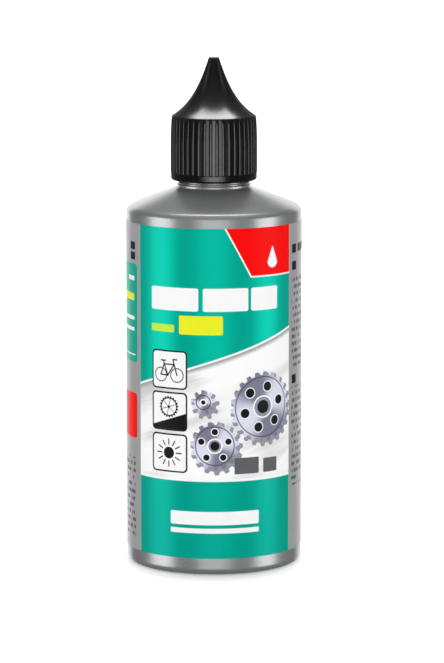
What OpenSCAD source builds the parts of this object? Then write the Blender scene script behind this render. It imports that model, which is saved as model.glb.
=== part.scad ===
// Round squeeze bottle for chain lube, with a wraparound label, a dropper insert in the
// threaded neck and a ribbed screw cap that is drawn out into a hollow cone.
// Millimetres. The origin is the centre of the foot ring, +Z is up, the label faces -Y.

/* [Bottle] */
// Outside diameter of the straight wall
body_d = 43; // [38:0.5:50]
// Height at which the straight wall would meet the shoulder cone
body_h = 87.4; // [70:0.1:110]
// Wall thickness of the body and shoulder
wall = 1.1; // [0.8:0.1:1.6]
// Thickness of the base
base_wall = 1.4; // [1:0.1:2.4]
// Slope of the shoulder cone, in degrees above the horizontal
shoulder_slope = 22.6; // [15:0.2:32]
// Radius that rounds the wall into the shoulder
shoulder_round = 3; // [2:0.5:5]
// Radius that rounds the wall into the foot ring
heel_round = 1.4; // [1.2:0.1:2.5]
// Width of the flat foot ring that the bottle stands on
foot_w = 1.6; // [1:0.1:3]
// Height of the pushed-up middle of the base
push_up = 1.3; // [0.8:0.1:2]
// Radial run of the slope from the foot ring to the pushed-up middle
push_run = 3; // [2:0.5:5]
// Length of the pinch-off weld across the base
pinch_l = 24; // [16:1:28]
// Width of the pinch-off weld
pinch_w = 0.8; // [0.5:0.1:1.2]
// Height of the pinch-off weld
pinch_h = 0.5; // [0.3:0.1:0.6]

/* [Neck] */
// Diameter of the neck at the root of its thread
neck_d = 15.6; // [15:0.1:16.4]
// Diameter over the crest of the neck thread
thread_d = 17.7; // [17.3:0.1:18]
// Wall thickness of the neck
neck_wall = 1.4; // [1.1:0.1:1.8]
// Height of the neck from the bead to the rim
neck_h = 13.6; // [13:0.1:17]
// Diameter of the bead under the cap
bead_d = 18.1; // [17.8:0.1:18.6]
// Height of the bead's upright edge
bead_h = 1.2; // [0.6:0.1:1.6]
// Radius on the bead's top edge and at its foot
bead_round = 0.35; // [0.2:0.05:0.4]

/* [Thread] */
// Rise of the thread in one turn
pitch = 3.175; // [3:0.025:3.4]
// Length of each thread in turns
thread_turns = 1.5; // [1:0.25:1.75]
// Width of the thread ridge at its root
thread_root_w = 1.9; // [1.6:0.05:1.95]
// Width of the thread ridge at its crest
thread_crest_w = 0.8; // [0.6:0.05:0.9]
// Depth from the rim to the middle of the neck thread's top end
thread_drop = 2.6; // [2:0.1:3.2]
// Radial gap between the neck thread and the cap's wall, and between the cap thread and the neck
thread_gap = 0.3; // [0.25:0.05:0.4]
// How far the closed cap's thread sits above the middle of the gap, so that it pulls down
thread_bite = 0.2; // [0:0.05:0.25]

/* [Dropper insert] */
// Wall thickness of the plug in the neck
plug_wall = 1; // [0.8:0.1:1.4]
// Height of the tapered lead-in at the plug's end
plug_lead = 1; // [0.6:0.1:1.4]
// Depth of the plug below the rim
plug_l = 7; // [5:0.5:9]
// Height of each sealing bead on the plug
plug_bead = 0.12; // [0.1:0.01:0.16]
// How far the flange stands out beyond the neck
flange_lip = 0.1; // [0:0.05:0.15]
// Thickness of the flange that sits on the rim
flange_t = 1; // [0.8:0.1:1.4]
// Diameter of the spout above the flange
spout_d = 6.8; // [6:0.2:7.4]
// Diameter of the spout's tip
spout_tip_d = 2.2; // [2:0.1:2.4]
// Wall thickness of the spout above the flange
spout_wall = 0.9; // [0.7:0.1:1.1]
// Diameter of the drop hole
orifice_d = 1.2; // [1:0.1:1.3]
// Length of the drop hole
orifice_l = 2.5; // [1.5:0.1:3]
// Radius of the fillet where the spout leaves the flange
spout_fillet = 0.9; // [0.5:0.1:1.2]
// Gap between the spout's tip and the roof of the cone
spout_gap = 1; // [0.8:0.1:1.6]

/* [Sealing ring] */
// Thickness of the foam sealing ring
seal_t = 0.8; // [0.6:0.1:1.2]
// Inside diameter of the sealing ring
seal_hole_d = 11; // [10:0.5:12]
// Radial gap between the ring's edge and the cap's wall
seal_gap = 0.3; // [0.2:0.05:0.4]

/* [Cap] */
// Wall thickness of the cap's skirt and cone
cap_wall = 1.15; // [1:0.05:1.4]
// Gap between the bead's top and the cap's bottom edge
cap_gap = 0.8; // [0.2:0.05:1]
// Height of the plain band below the ribs
band_h = 1.5; // [1.2:0.1:4]
// How far the plain band stands out beyond the valleys between the ribs
band_proud = 0.2; // [0.1:0.05:0.25]
// Radius on the cap's bottom edge
band_round = 0.8; // [0.5:0.1:0.9]
// Number of grip ribs
rib_count = 42; // [30:2:48]
// Height of each rib
rib_h = 0.27; // [0.2:0.01:0.5]
// Width of each rib
rib_w = 0.46; // [0.3:0.02:0.6]
// Length over which the ribs sink into the cap towards its top
rib_fade = 8.8; // [6:0.2:9]
// Plain strip between the ribs' top ends and the cap's edge
rib_lip = 0.3; // [0.2:0.05:0.8]
// Thickness of the cap's deck at its outer edge
deck_t = 0.8; // [0.6:0.1:1.4]
// Radial width of the flat land that presses on the sealing ring
land_w = 2.15; // [1.6:0.05:2.3]
// Height of the cone above the cap's edge
cone_h = 14.2; // [11:0.1:18]
// Diameter of the cone's flat tip
tip_d = 2.5; // [2:0.1:3]
// Solid length of the cone's tip
tip_solid = 3.4; // [3:0.1:4.5]
// Radius of the chamfer round the cone's tip
tip_edge = 0.15; // [0.1:0.05:0.3]
// Diameter of the sealing pin at the roof of the cone
pin_d = 1.1; // [0.8:0.1:1.1]
// How far the sealing pin reaches into the drop hole
pin_reach = 1; // [0.6:0.1:1.4]
// Radial gap between the pin's end and the drop hole
pin_gap = 0.1; // [0.08:0.01:0.15]

/* [Label] */
// Thickness of the label film
film_t = 0.1; // [0.06:0.01:0.16]
// Height of the label's bottom edge
label_z = 4.1; // [3:0.1:8]
// Height of the label
label_h = 80.6; // [50:0.1:80.6]
// Width of the printed front panel, along the surface
panel_w = 42.3; // [30:0.1:60]
// Height at which the upper colour field's slanted edge crosses the middle of the front
slant_z = 51.9; // [40:0.1:60]
// Slope of that edge across the front, in degrees
slant_angle = 20; // [0:1:25]
// Height of the top of the lower colour field
band_top_z = 22.5; // [15:0.1:30]
// Width of the badge field at the top right, along its top edge
badge_w = 18.3; // [10:0.1:21]
// Lean of the badge's left edge, in degrees from upright
badge_lean = 26; // [0:1:35]
// Height of the badge field
badge_h = 12.3; // [8:0.1:16]
// Thickness of the printed colour on the film
ink_t = 0.04; // [0.03:0.01:0.06]
// Bare margin between a colour field and the edge of what it is printed on
print_margin = 0.2; // [0.1:0.1:0.6]

/* [Fill] */
// Volume of lube, in millilitres
fill_ml = 100; // [60:1:102]
// Clearance that separates the lube's solid from the bottle
fill_gap = 0.1; // [0.05:0.05:0.2]

/* [Hidden] */

// Facets of the round surfaces, and of each quarter of a rounded edge
$fn = 96;
EDGE_STEPS = 6;
// Overlap of joined shapes, so that they fuse
FUSE = 0.3;
// Cubic millimetres in a millilitre
MM3_PER_ML = 1000;
// Smallest radius that still rounds the inside of the heel
MIN_ROUND = 0.5;

silver = [0.62, 0.63, 0.64];
film_silver = [0.72, 0.73, 0.74];
teal = [0, 0.68, 0.58];
badge_red = [0.9, 0.05, 0.05];
cap_black = [0.1, 0.1, 0.1];
natural = [0.9, 0.9, 0.86];

// Bottle
body_r = body_d / 2;
bead_r = bead_d / 2;
foot_r = body_r - heel_round;
bead_z = body_h + (body_r - bead_r) * tan(shoulder_slope);
bead_top_z = bead_z + bead_h;
inner_r = body_r - wall;
// The shoulder's inner cone lies one wall, measured square to the slope, below the outer one
shoulder_drop = wall / cos(shoulder_slope);

// Neck and its thread
neck_r = neck_d / 2;
bore_r = neck_r - neck_wall;
rim_z = bead_top_z + neck_h;
thread_r = thread_d / 2;
neck_thread_z = rim_z - thread_drop - thread_turns * pitch;

// Stack of flange, sealing ring and deck above the rim
flange_z = rim_z + flange_t;
deck_z = flange_z + seal_t;
edge_z = deck_z + deck_t;
top_z = edge_z + cone_h;

// Cap
cap_z = bead_top_z + cap_gap;
cap_bore_r = thread_r + thread_gap;
skirt_r = cap_bore_r + cap_wall;
band_r = skirt_r + band_proud;
rib_r = skirt_r + rib_h;
rib_z = cap_z + band_h;
rib_top_z = edge_z - rib_lip;
// Depth to which the ribs' top ends sink below the skirt, and how far their underside slopes
rib_sink = 0.05;
rib_slope = 0.25;
cap_thread_r = neck_r + thread_gap;
cap_thread_z = neck_thread_z - pitch / 2 + thread_bite;
tip_r = tip_d / 2;
roof_z = top_z - tip_solid;
land_r = cap_bore_r - land_w;
// The mouth's chamfer, outwards and upwards
mouth_w = 0.3;
mouth_h = 0.5;
// The hollow's straight start above the land, and its clearance round the spout's tip
hollow_rise = 0.6;
hollow_gap = 0.35;
// Handles of the cone's flare, as shares of its width and height
flare_tip_handle = [0.45, 0.111];
flare_edge_handle = [0.85, 0.13];

// Dropper insert
plug_r = bore_r - plug_bead;
flange_r = neck_r + flange_lip;
// Rounding of the insert's edges, and the width of the plug's lead-in
soft_edge = 0.2;
plug_lead_w = 0.6;
// Half height of a sealing bead at its foot and at its crest, and the play left in the bore
bead_foot = 0.4;
bead_crest = 0.15;
bead_play = 0.01;
spout_r = spout_d / 2;
spout_tip_r = spout_tip_d / 2;
orifice_r = orifice_d / 2;
spout_z = roof_z - spout_gap;
seal_r = cap_bore_r - seal_gap;

// Label
film_gap = 0.02;
film_r = body_r + film_gap;
label_r = film_r + film_t;
label_top_z = label_z + label_h;

// Points of an arc about [r, z], from one angle to another
function arc(r, z, radius, from, to) =
    [for (i = [0 : EDGE_STEPS])
        let (a = from + (to - from) * i / EDGE_STEPS)
        [r + radius * cos(a), z + radius * sin(a)]];

// Arc that rounds a wall at radius r into the shoulder cone whose sharp corner is at height z
function shoulder_arc(r, z, radius) =
    arc(r - radius, z - radius * tan((90 - shoulder_slope) / 2), radius, 0, 90 - shoulder_slope);

// Cubic curve between two ends with two handles
function curve(a, b, c, d, steps) =
    [for (i = [0 : steps])
        let (t = i / steps, u = 1 - t)
        u * u * u * a + 3 * u * u * t * b + 3 * u * t * t * c + t * t * t * d];

// Ring of four corners of a thread ridge at one angle, between the radii of its root and crest
function ridge_corners(a, z, root, crest) =
    let (order = crest > root ? [0, 1, 2, 3] : [3, 2, 1, 0])
    let (corners = [[root, z - thread_root_w / 2], [crest, z - thread_crest_w / 2],
                    [crest, z + thread_crest_w / 2], [root, z + thread_root_w / 2]])
    [for (i = order) [corners[i][0] * cos(a), corners[i][0] * sin(a), corners[i][1]]];

// Share of its full height that a thread ridge has at i of n steps: it starts at a low end and
// reaches full height after a seventh of its length
function ridge_share(i, n) =
    let (low_end = 0.12, full_after = 1 / 7)
    min(1, low_end + min(i, n - i) / n / full_after);

// Right-hand thread ridge, swept up a helix from height z at +X. Its root is sunk into the wall.
module thread_ridge(root_r, crest_r, z) {
    n = round(36 * thread_turns);
    sunk = root_r + (crest_r > root_r ? -FUSE : FUSE);
    rings = [for (i = [0 : n])
        ridge_corners(360 * thread_turns * i / n, z + pitch * thread_turns * i / n, sunk,
                      sunk + (crest_r - sunk) * ridge_share(i, n))];
    points = [for (ring = rings) for (p = ring) p];
    sides = [for (i = [0 : n - 1]) for (j = [0 : 3])
        let (k = (j + 1) % 4, lo = 4 * i, hi = 4 * i + 4)
        each [[lo + j, hi + k, hi + j], [lo + j, lo + k, hi + k]]];
    ends = [[0, 2, 1], [0, 3, 2], [4 * n, 4 * n + 1, 4 * n + 2], [4 * n, 4 * n + 2, 4 * n + 3]];
    polyhedron(points, concat(sides, ends), convexity = 6);
}

// Outline of the bottle's outside, from the foot ring up to the neck's rim
function bottle_outside() = concat(
    [[0, push_up], [foot_r - foot_w - push_run, push_up], [foot_r - foot_w, 0]],
    arc(foot_r, heel_round, heel_round, -90, 0),
    shoulder_arc(body_r, body_h, shoulder_round),
    [[bead_r + bead_round, bead_z - bead_round * tan(shoulder_slope)],
     [bead_r, bead_z + bead_round]],
    arc(bead_r - bead_round, bead_top_z - bead_round, bead_round, 0, 90),
    [[neck_r + bead_round, bead_top_z], [neck_r, bead_top_z + bead_round],
     [neck_r, rim_z - bead_round], [neck_r - bead_round, rim_z], [0, rim_z]]);

// Outline of the bottle's inside, held off the wall by a gap, from the floor up to height z_end.
// The heel's inner radius stays concentric with the outer one where the wall lets it.
function bottle_inside(gap, z_end) =
    let (r = inner_r - gap,
         heel = max(MIN_ROUND, heel_round - wall / 2),
         lift = base_wall + gap,
         cone_z = body_h - shoulder_drop + wall * tan(shoulder_slope)
                  - gap / cos(shoulder_slope) + gap * tan(shoulder_slope),
         neck = bore_r - gap)
    concat(
        [[0, push_up + lift], [foot_r - foot_w - push_run, push_up + lift],
         [foot_r - foot_w, lift]],
        arc(r - heel, lift + heel, heel, -90, 0),
        z_end < cone_z - shoulder_round
            ? [[r, z_end], [0, z_end]]
            : concat(
                shoulder_arc(r, cone_z, shoulder_round - wall),
                [[neck, cone_z + (r - neck) * tan(shoulder_slope)], [neck, z_end], [0, z_end]]));

// Blow-moulded bottle: foot ring, pinch-off weld, straight wall, shoulder cone, bead and neck
module bottle() {
    color(silver) {
        difference() {
            union() {
                rotate_extrude() polygon(bottle_outside());
                thread_ridge(neck_r, thread_r, neck_thread_z);
            }
            rotate_extrude() polygon(bottle_inside(0, rim_z + FUSE));
        }
        translate([-pinch_l / 2, -pinch_w / 2, push_up - pinch_h])
            cube([pinch_l, pinch_w, pinch_h + FUSE]);
    }
}

// Patch of film from height z_low to z_high, at radius r and thickness t, over an arc of width w
// along the surface, whose middle lies at centre from the front's. Each colour field is one.
module film_patch(r, t, w, centre, z_low, z_high) {
    sweep = w / r * 180 / PI;
    rotate([0, 0, -90 + centre / r * 180 / PI - sweep / 2])
        rotate_extrude(angle = sweep)
            translate([r, z_low]) square([t, z_high - z_low]);
}

// Colour field of the print, a thin coat that stands on the film and is sunk halfway into it.
// The number of coats raises a field that is printed over another one.
module print_field(coats, w, centre, z_low, z_high) {
    film_patch(label_r - film_t / 2, film_t / 2 + coats * ink_t, w, centre, z_low, z_high);
}

// Wraparound film label, with a front panel of two colour fields and a badge
module label() {
    print_top_z = label_top_z - print_margin;
    color(film_silver)
        rotate_extrude()
            translate([film_r, label_z]) square([film_t, label_h]);
    color(teal) {
        intersection() {
            print_field(1, panel_w, 0, (band_top_z + slant_z) / 2, print_top_z);
            translate([0, 0, slant_z]) rotate([0, -slant_angle, 0])
                translate([-body_d, -body_d, 0]) cube([2 * body_d, 2 * body_d, 2 * label_h]);
        }
        print_field(1, panel_w, 0, label_z + print_margin, band_top_z);
    }
    badge_x = panel_w / 2 - badge_w;
    color(badge_red)
        intersection() {
            print_field(2, badge_w, (panel_w - badge_w) / 2 - print_margin,
                        label_top_z - badge_h, print_top_z - print_margin);
            translate([badge_x, 0, label_top_z]) rotate([0, -badge_lean, 0])
                translate([0, -body_d, -body_d]) cube([body_d, body_d, 2 * body_d]);
        }
}

// Height at which the fill ends: the volume spread over the bore, after what the base displaces
function fill_top_z() =
    let (r = inner_r - fill_gap,
         r_up = foot_r - foot_w - push_run / 2,
         displaced = PI * r_up * r_up * push_up)
    base_wall + fill_gap + (MM3_PER_ML * fill_ml + displaced) / (PI * r * r);

// The lube that fills the bottle, as one solid of its volume
module lube() {
    color([0.75, 0.6, 0.3, 0.8])
        rotate_extrude() polygon(bottle_inside(fill_gap, fill_top_z()));
}

// Outline of the dropper insert's outside, from the plug up to the spout's tip
function nozzle_outside() =
    let (end_z = rim_z - plug_l, lead_z = end_z + plug_lead)
    concat(
        [[0, end_z], [plug_r - plug_lead_w, end_z], [plug_r, lead_z]],
        plug_bead_points(lead_z + 3 * bead_foot),
        plug_bead_points(rim_z - 5 * bead_foot),
        [[plug_r, rim_z], [flange_r, rim_z], [flange_r, flange_z - soft_edge],
         [flange_r - soft_edge, flange_z]],
        arc(spout_r + spout_fillet, flange_z + spout_fillet, spout_fillet, -90, -180),
        arc(spout_tip_r - soft_edge, spout_z - soft_edge, soft_edge, 0, 90),
        [[0, spout_z]]);

// One sealing bead round the plug, at height z
function plug_bead_points(z) =
    let (crest_r = bore_r - bead_play)
    [[plug_r, z - bead_foot], [crest_r, z - bead_crest], [crest_r, z + bead_crest],
     [plug_r, z + bead_foot]];

// Dropper insert: plug with sealing beads, flange on the rim, and a tapered spout
module nozzle() {
    waist_r = spout_r - spout_wall;
    hollow_r = plug_r - plug_wall;
    mouth_z = rim_z - plug_l - FUSE;
    throat_z = spout_z - orifice_l;
    color(natural)
        difference() {
            rotate_extrude() polygon(nozzle_outside());
            rotate_extrude() polygon(
                [[0, mouth_z], [hollow_r, mouth_z], [hollow_r, rim_z - plug_wall],
                 [waist_r, flange_z - soft_edge / 2],
                 [waist_r, flange_z + spout_fillet], [orifice_r, throat_z], [0, throat_z]]);
            translate([0, 0, throat_z - FUSE])
                cylinder(r = orifice_r, h = orifice_l + 2 * FUSE);
        }
}

// Foam sealing ring, pushed past the cap's thread and held against its deck
module seal_ring() {
    color(natural)
        translate([0, 0, flange_z])
            difference() {
                cylinder(r = seal_r, h = seal_t);
                translate([0, 0, -FUSE]) cylinder(d = seal_hole_d, h = seal_t + 2 * FUSE);
            }
}

// Flare of the cone between two radii and two heights. The handles are shares of its width and
// height, so the trumpet form keeps its character at any size.
function flare(r_tip, z_tip, r_edge, z_edge, steps) =
    let (low = [r_tip, z_edge], span = [r_edge - r_tip, z_tip - z_edge])
    curve([r_tip, z_tip], low + [for (i = [0, 1]) flare_tip_handle[i] * span[i]],
          low + [for (i = [0, 1]) flare_edge_handle[i] * span[i]], [r_edge, z_edge], steps);

// Radius over the ribs at height z: upright at first, then sinking into the skirt at their top
function rib_envelope(z) =
    rib_r - (rib_h + rib_sink) * pow(max(0, 1 - (rib_top_z - z) / rib_fade), 3);

// Grip ribs: each is a thin fin whose side outline follows the envelope, sunk into the skirt.
// Its underside slopes out of the plain band.
module ribs() {
    root_r = skirt_r - FUSE;
    low_z = rib_z - rib_slope;
    crest_z = rib_z + rib_sink;
    outline = concat(
        [[root_r, low_z], [(skirt_r + band_r) / 2, low_z]],
        [for (i = [0 : 6]) let (z = crest_z + (rib_top_z - crest_z) * i / 6) [rib_envelope(z), z]],
        [[root_r, rib_top_z]]);
    for (i = [0 : rib_count - 1])
        rotate([0, 0, 360 * i / rib_count])
            rotate([90, 0, 0]) linear_extrude(rib_w, center = true) polygon(outline);
}

// Outline of the cap's outside, from the bottom edge up to the tip
function cap_outside() = concat(
    [[0, cap_z]],
    arc(band_r - band_round, cap_z + band_round, band_round, -90, 0),
    [[band_r, rib_z], [skirt_r, rib_z]],
    reversed(flare(tip_r, top_z - tip_edge, skirt_r, edge_z, 20)),
    [[tip_r - tip_edge, top_z], [0, top_z]]);

// A list of points in the opposite order
function reversed(list) = [for (i = [len(list) - 1 : -1 : 0]) list[i]];

// Outline of the cap's inside: mouth, threaded bore, land for the ring, and the cone's hollow
function cap_inside() =
    let (mouth_r = cap_bore_r + mouth_w)
    concat(
        [[0, cap_z - FUSE], [mouth_r, cap_z - FUSE], [mouth_r, cap_z],
         [cap_bore_r, cap_z + mouth_h], [cap_bore_r, deck_z], [land_r, deck_z]],
        reversed(flare(spout_tip_r + hollow_gap, roof_z, land_r, deck_z + hollow_rise, 12)),
        [[0, roof_z]]);

// Screw cap: ribbed skirt with a plain band, deck, hollow trumpet cone, thread and sealing pin
module cap() {
    pin_end_z = spout_z - pin_reach;
    color(cap_black) {
        difference() {
            union() {
                rotate_extrude() polygon(cap_outside());
                ribs();
            }
            rotate_extrude() polygon(cap_inside());
        }
        thread_ridge(cap_bore_r, cap_thread_r, cap_thread_z);
        translate([0, 0, pin_end_z])
            cylinder(r1 = orifice_r - pin_gap, r2 = pin_d / 2, h = roof_z - pin_end_z + FUSE);
    }
}

bottle();
label();
lube();
nozzle();
seal_ring();
cap();
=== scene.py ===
import math
import bmesh
import bpy
import numpy as np
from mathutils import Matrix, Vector


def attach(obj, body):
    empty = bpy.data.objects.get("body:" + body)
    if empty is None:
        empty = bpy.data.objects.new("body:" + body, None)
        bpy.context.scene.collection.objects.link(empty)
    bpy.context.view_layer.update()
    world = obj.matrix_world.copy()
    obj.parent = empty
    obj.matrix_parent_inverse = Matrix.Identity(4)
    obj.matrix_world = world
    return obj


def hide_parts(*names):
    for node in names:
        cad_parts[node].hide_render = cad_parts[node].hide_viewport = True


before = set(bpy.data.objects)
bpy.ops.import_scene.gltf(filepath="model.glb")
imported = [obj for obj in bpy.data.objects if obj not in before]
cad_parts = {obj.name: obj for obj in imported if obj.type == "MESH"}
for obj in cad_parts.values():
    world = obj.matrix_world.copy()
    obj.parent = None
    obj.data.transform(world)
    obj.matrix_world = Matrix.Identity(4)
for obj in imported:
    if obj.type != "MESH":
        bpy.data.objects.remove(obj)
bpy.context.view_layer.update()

# BOTTLE
# Round squeeze bottle, blow-moulded in pearl silver HDPE. Its foot ring, heel, straight wall,
# shoulder cone, neck bead and threaded neck are one moulding. A faint parting line runs up both
# sides, and the parison's pinch-off weld crosses the base.

MM = 0.001
BODY_R = 21.5
INNER_R = 20.4
BASE_T = 1.4
PUSH_UP = 1.3
PUSH_R = 15.5
FOOT_IN_R = 18.5
FOOT_R = 20.1
HEEL = 1.4
HEEL_STRETCH = 1.2
INNER_HEEL = 0.85
WALL_TOP = 86.65
INNER_TOP = 84.95
INNER_TURN = 1.9
INNER_LEAN = 67.4
BEAD_R = 9.05
BEAD_Z = 92.77
NECK_R = 7.8
BORE_R = 6.4
BORE_LOW = 92.17
RIM_Z = 107.38
PITCH = 3.175
THREAD_TURNS = 1.5
THREAD_SUNK = 0.3
NECK_THREAD_R = 8.85
NECK_THREAD_Z = 100.02
WELD_W = 0.8
WELD_L = 24


def arc(r, z, radius, start, end, steps=10):
    """Points of an arc about (r, z): (r + radius cos a, z + radius sin a), with a in degrees above
    the outward direction."""
    a = np.radians(np.linspace(start, end, steps + 1))
    return np.stack([r + radius * np.cos(a), z + radius * np.sin(a)], 1)


def path(*runs):
    """One profile of (r, z) points from single points and rows of points."""
    return np.concatenate([np.atleast_2d(np.asarray(run, float)) for run in runs])


def between(profile, step):
    """The profile with its long straights cut evenly, so that no two points lie further apart
    than step."""
    out = []
    for a, b in zip(profile[:-1], profile[1:]):
        n = max(1, math.ceil(np.hypot(*(b - a)) / step))
        out.append(a + (b - a) * np.arange(n)[:, None] / n)
    return np.concatenate(out + [profile[-1:]])


def turned(profile, angles, out=0):
    """Grid of a profile turned about Z and pushed outwards: ((r + out) cos t, (r + out) sin t, z),
    with a row for each profile point."""
    r, z = profile[:, :1] + out, profile[:, 1:]
    return np.stack([r * np.cos(angles), r * np.sin(angles), z + 0 * angles], -1)


def grid_faces(rows, columns, wrap_rows=False, wrap_columns=True, first=0):
    """Quads of a grid of points, which may close on itself either way. They face outwards where
    the rows climb and the columns go anticlockwise."""
    i = np.arange(rows if wrap_rows else rows - 1)[:, None]
    j = np.arange(columns if wrap_columns else columns - 1)[None]
    at = lambda a, b: first + (a % rows) * columns + b % columns
    return np.stack([at(i, j), at(i, j + 1), at(i + 1, j + 1), at(i + 1, j)], -1).reshape(-1, 4)


def piece(name, grids, material, body, node, sharp=32):
    """A mesh from grids of points in millimetres, given as (points, wrap_rows, wrap_columns,
    end_caps). Poles and seams are welded, and edges past the angle sharp stay crisp."""
    points, faces, count = [], [], 0
    for grid, wrap_rows, wrap_columns, end_caps in grids:
        rows, columns = grid.shape[:2]
        faces += grid_faces(rows, columns, wrap_rows, wrap_columns, count).tolist()
        if end_caps:
            faces.append((count + np.arange(columns)[::-1]).tolist())
            faces.append((count + (rows - 1) * columns + np.arange(columns)).tolist())
        points.append(grid.reshape(-1, 3) * MM)
        count += rows * columns
    mesh = bpy.data.meshes.new(name)
    mesh.from_pydata(np.concatenate(points).tolist(), [], faces)
    welded = bmesh.new()
    welded.from_mesh(mesh)
    bmesh.ops.remove_doubles(welded, verts=welded.verts, dist=1e-7)
    welded.to_mesh(mesh)
    welded.free()
    mesh.shade_smooth()
    mesh.set_sharp_from_angle(angle=math.radians(sharp))
    mesh.materials.append(material)
    made = bpy.data.objects.new(name, mesh)
    bpy.context.scene.collection.objects.link(made)
    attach(made, body)
    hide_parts(node)
    return made


def thread(root_r, crest_r, start_z):
    """Helical ridge: its section is a trapezoid with a rounded crest, carried up a right-hand
    helix: (r cos 2 pi t, r sin 2 pi t, start + pitch t) for t turns. It swells from nothing at
    both ends, and its root is sunk in the wall."""
    t = np.linspace(0, THREAD_TURNS, 97)
    swell = np.clip(0.1 + 8 * np.minimum(t, THREAD_TURNS - t) / THREAD_TURNS, 0, 1) ** 0.7
    root = root_r + math.copysign(THREAD_SUNK, root_r - crest_r)
    across = np.array([-0.95, -0.52, -0.36, -0.16, 0.16, 0.36, 0.52, 0.95])
    depth = np.array([0, 0.86, 0.97, 1, 1, 0.97, 0.86, 0])
    r = root + (crest_r - root) * depth * swell[:, None]
    z = start_z + PITCH * t[:, None] + across
    a = 2 * np.pi * t[:, None]
    grid = np.stack([r * np.cos(a), r * np.sin(a), z], -1)
    return grid[:, ::-1] if crest_r > root_r else grid


def shoulder(r, z, tight, wide, turn, lean):
    """Two arcs in one flow: from the straight wall at radius r and height z, one of radius tight
    turns the normal up by the angle turn, and one of radius wide leads on into a cone whose normal
    leans up by the angle lean."""
    far = r - tight - (wide - tight) * math.cos(math.radians(turn))
    low = z - (wide - tight) * math.sin(math.radians(turn))
    return path(arc(r - tight, z, tight, 0, turn, 14), arc(far, low, wide, turn, lean, 5)[1:])


def wired(tree, made, wires):
    """Gives each input of a node, by name or number, its value or another node's output, and
    returns the node."""
    for key, value in wires.items():
        if isinstance(value, bpy.types.NodeSocket):
            tree.links.new(value, made.inputs[key])
        else:
            made.inputs[key].default_value = value
    return made


def node(tree, kind, wires=None, **settings):
    """Adds a shader node with its wires and its settings."""
    made = tree.nodes.new("ShaderNode" + kind)
    for name, value in settings.items():
        setattr(made, name, value)
    return wired(tree, made, wires or {})


def calc(tree, operation, *values, clamp=False):
    """The result of a Math node on numbers or outputs."""
    wires = dict(enumerate(values))
    return node(tree, "Math", wires, operation=operation, use_clamp=clamp).outputs[0]


def ramp(tree, value, low, high, to_low=0.0, to_high=1.0):
    """value carried smoothly from low..high to to_low..to_high, and held beyond them."""
    wires = {0: value, 1: low, 2: high, 3: to_low, 4: to_high}
    return node(tree, "MapRange", wires, interpolation_type="SMOOTHSTEP").outputs[0]


def lay(tree, mask, under, over):
    """The colour over laid on the colour under where mask is 1."""
    return node(tree, "Mix", {0: mask, 6: under, 7: over}, data_type="RGBA").outputs[2]


def new_group(name, inputs, outputs):
    """An empty node group with named sockets: its tree, what comes in and what goes out."""
    tree = bpy.data.node_groups.new(name, "ShaderNodeTree")
    for title, kind in inputs:
        tree.interface.new_socket(title, in_out="INPUT", socket_type="NodeSocket" + kind)
    for title, kind in outputs:
        tree.interface.new_socket(title, in_out="OUTPUT", socket_type="NodeSocket" + kind)
    return tree, tree.nodes.new("NodeGroupInput").outputs, tree.nodes.new("NodeGroupOutput").inputs


def use(tree, group, wires):
    """Places a node group and returns its outputs."""
    made = tree.nodes.new("ShaderNodeGroup")
    made.node_tree = group
    return wired(tree, made, wires).outputs


def finish_of(name, color, roughness, metallic=0.0, specular=0.5):
    """A new material with a Principled shader. Returns it with its tree, the shader, and the place
    on the object."""
    made = bpy.data.materials.new(name)
    made.use_nodes = True
    tree = made.node_tree
    shader = tree.nodes["Principled BSDF"]
    shader.inputs["Base Color"].default_value = (*color, 1)
    shader.inputs["Roughness"].default_value = roughness
    shader.inputs["Metallic"].default_value = metallic
    shader.inputs["Specular IOR Level"].default_value = specular
    return made, tree, shader, node(tree, "TexCoord").outputs["Object"]


def drift_gloss(tree, shader, drift, spread, rough):
    """Feeds the shader a roughness that drifts about rough: spread times the drift, plus rough."""
    tree.links.new(calc(tree, "MULTIPLY_ADD", drift, spread, rough), shader.inputs["Roughness"])


def bump(tree, shader, height, depth):
    """Feeds a height, given in shares of a depth in metres, to the shader's normal."""
    wires = {"Height": height, "Distance": depth, "Strength": 1.0}
    tree.links.new(node(tree, "Bump", wires).outputs[0], shader.inputs["Normal"])


# The skin of a moulding: fine orange peel, and broad drifts of gloss from handling
skin, came, goes = new_group(
    "moulded_skin",
    [("Place", "Vector"), ("Grain per m", "Float"), ("Drift per m", "Float")],
    [("Height", "Float"), ("Gloss drift", "Float")])
grain = node(skin, "TexNoise", {"Vector": came["Place"], "Scale": came["Grain per m"],
                                "Detail": 3.0, "Roughness": 0.6})
drift = node(skin, "TexNoise", {"Vector": came["Place"], "Scale": came["Drift per m"],
                                "Detail": 2.0})
skin.links.new(grain.outputs[0], goes["Height"])
skin.links.new(calc(skin, "SUBTRACT", drift.outputs[0], 0.5), goes["Gloss drift"])

# Pearl silver: fine flakes in the plastic, and the mould's parting line up both sides
bottle_finish, tree, shader, place = finish_of(
    "pearl_silver_hdpe", (0.36, 0.365, 0.37), 0.3, metallic=0.74)
surface = use(tree, skin, {"Place": place, "Grain per m": 900.0, "Drift per m": 60.0})
flakes = node(tree, "TexVoronoi", {"Vector": place, "Scale": 9000.0})
tone = ramp(tree, flakes.outputs["Color"], 0.0, 1.0)
tree.links.new(lay(tree, tone, (0.32, 0.325, 0.33, 1), (0.40, 0.405, 0.41, 1)),
               shader.inputs["Base Color"])
drift_gloss(tree, shader, surface["Gloss drift"], 0.16, 0.3)
across = calc(tree, "ABSOLUTE", node(tree, "SeparateXYZ", {0: place}).outputs[1])
parting = ramp(tree, across, 0.00005, 0.00018, 1.0, 0.0)
bump(tree, shader, calc(tree, "MULTIPLY_ADD", surface["Height"], 0.35, parting), 0.00004)

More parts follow.
